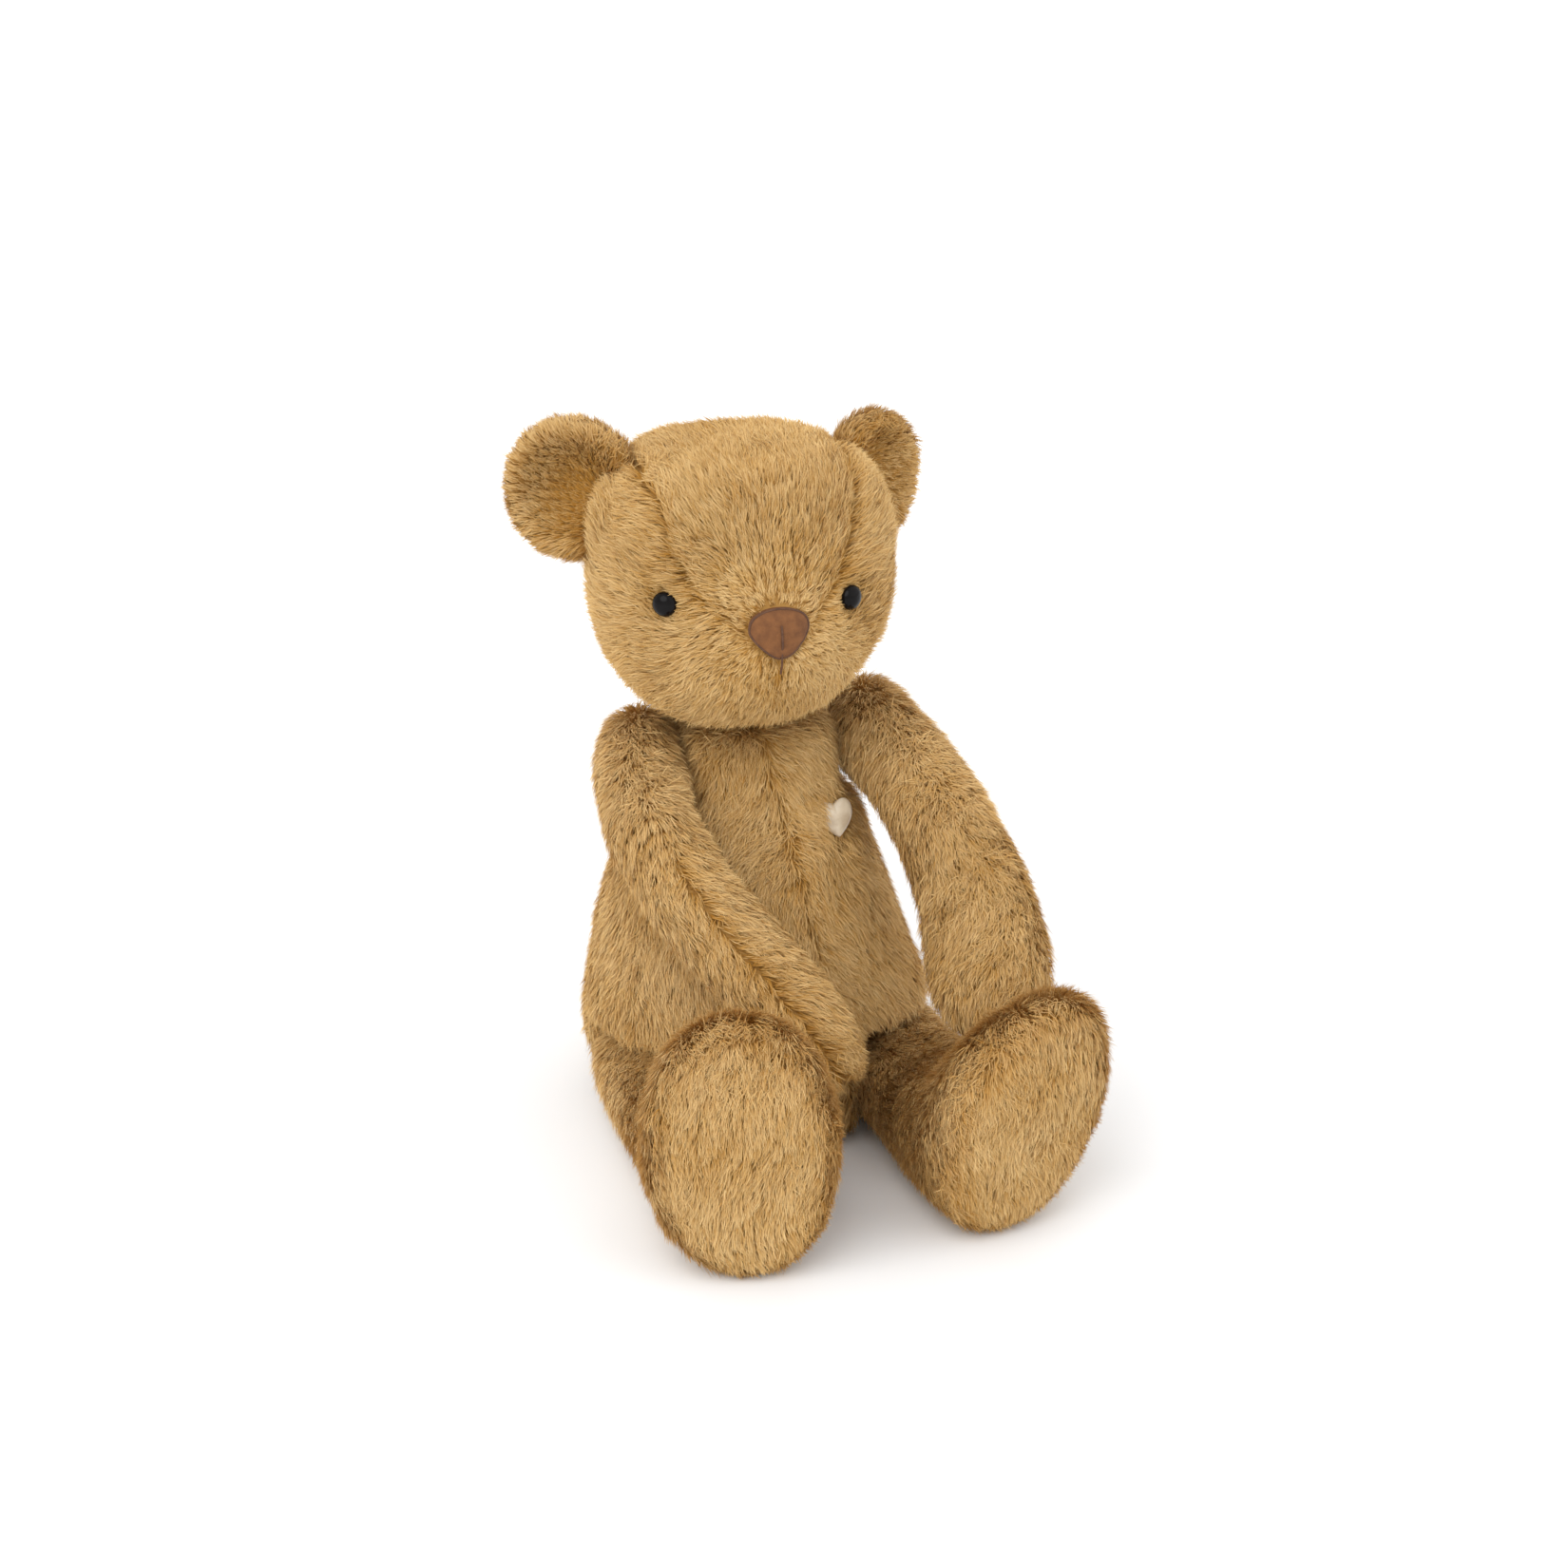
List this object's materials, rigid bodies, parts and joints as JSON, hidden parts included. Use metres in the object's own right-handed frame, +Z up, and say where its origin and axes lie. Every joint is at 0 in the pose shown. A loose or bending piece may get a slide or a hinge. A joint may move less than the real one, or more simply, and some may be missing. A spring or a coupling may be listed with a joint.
{
  "type": "jointed teddy bear",
  "caption": "Seated plush teddy bear with disc-jointed head, arms and legs, a stitched nose, domed eyes and a small plain heart on the chest.",
  "frame": {"origin": "middle of the flat seat, on the ground", "axes": "+Z up, the bear faces -Y, its own left side is +X"},
  "size_m": [0.1883, 0.2287, 0.2844],
  "materials": {
    "fur": "golden brown plush fur fabric, 8 mm silky pile",
    "stuffing": "white polyester fibre",
    "plate": "plain moulded plastic",
    "lock": "plain spring steel",
    "eye": "glossy black",
    "suede": "brown brushed suede fabric with stitched edge",
    "badge": "pearly ivory"
  },
  "bodies": {
    "torso": {"torso_left_panel": "fur", "torso_right_panel": "fur", "torso_base_panel": "fur", "torso_stuffing": "stuffing", "heart_badge": "badge", "neck_washer": "plate", "neck_lock": "lock", "shoulder_left_washer": "plate", "shoulder_left_lock": "lock", "shoulder_right_washer": "plate", "shoulder_right_lock": "lock", "hip_left_washer": "plate", "hip_left_lock": "lock", "hip_right_washer": "plate", "hip_right_lock": "lock"},
    "head": {"head_left_panel": "fur", "head_right_panel": "fur", "head_centre_gusset": "fur", "head_stuffing": "stuffing", "ear_left_front": "fur", "ear_left_back": "fur", "ear_right_front": "fur", "ear_right_back": "fur", "eye_left": "eye", "eye_right": "eye", "eye_washer_left": "plate", "eye_washer_right": "plate", "nose_pad": "suede", "mouth_stitch": "suede", "neck_disc": "plate"},
    "arm_left": {"arm_left_outer_panel": "fur", "arm_left_inner_panel": "fur", "arm_left_stuffing": "stuffing", "arm_left_disc": "plate"},
    "arm_right": {"arm_right_outer_panel": "fur", "arm_right_inner_panel": "fur", "arm_right_stuffing": "stuffing", "arm_right_disc": "plate"},
    "leg_left": {"leg_left_outer_panel": "fur", "leg_left_inner_panel": "fur", "leg_left_sole": "fur", "leg_left_stuffing": "stuffing", "leg_left_disc": "plate"},
    "leg_right": {"leg_right_outer_panel": "fur", "leg_right_inner_panel": "fur", "leg_right_sole": "fur", "leg_right_stuffing": "stuffing", "leg_right_disc": "plate"}
  },
  "joints": [
    {"name": "neck", "type": "hinge", "parent": "torso", "child": "head", "pos_m": [-0.012, -0.004, 0.1693], "axis": [0, 0, 1], "range_deg": [-60, 60]},
    {"name": "shoulder_left", "type": "hinge", "parent": "torso", "child": "arm_left", "pos_m": [0.0262, -0.001, 0.152], "axis": [-0.9927, 0.1203, 0], "range_deg": [-5, 80]},
    {"name": "shoulder_right", "type": "hinge", "parent": "torso", "child": "arm_right", "pos_m": [-0.0342, -0.004, 0.152], "axis": [-0.9927, -0.1203, 0], "range_deg": [0, 45]},
    {"name": "hip_left", "type": "hinge", "parent": "torso", "child": "leg_left", "pos_m": [0.016, -0.015, 0.0195], "axis": [0.9945, 0.1045, 0], "range_deg": [0, 90]},
    {"name": "hip_right", "type": "hinge", "parent": "torso", "child": "leg_right", "pos_m": [-0.016, -0.015, 0.0195], "axis": [0.9994, -0.0349, 0], "range_deg": [0, 90]}
  ]
}
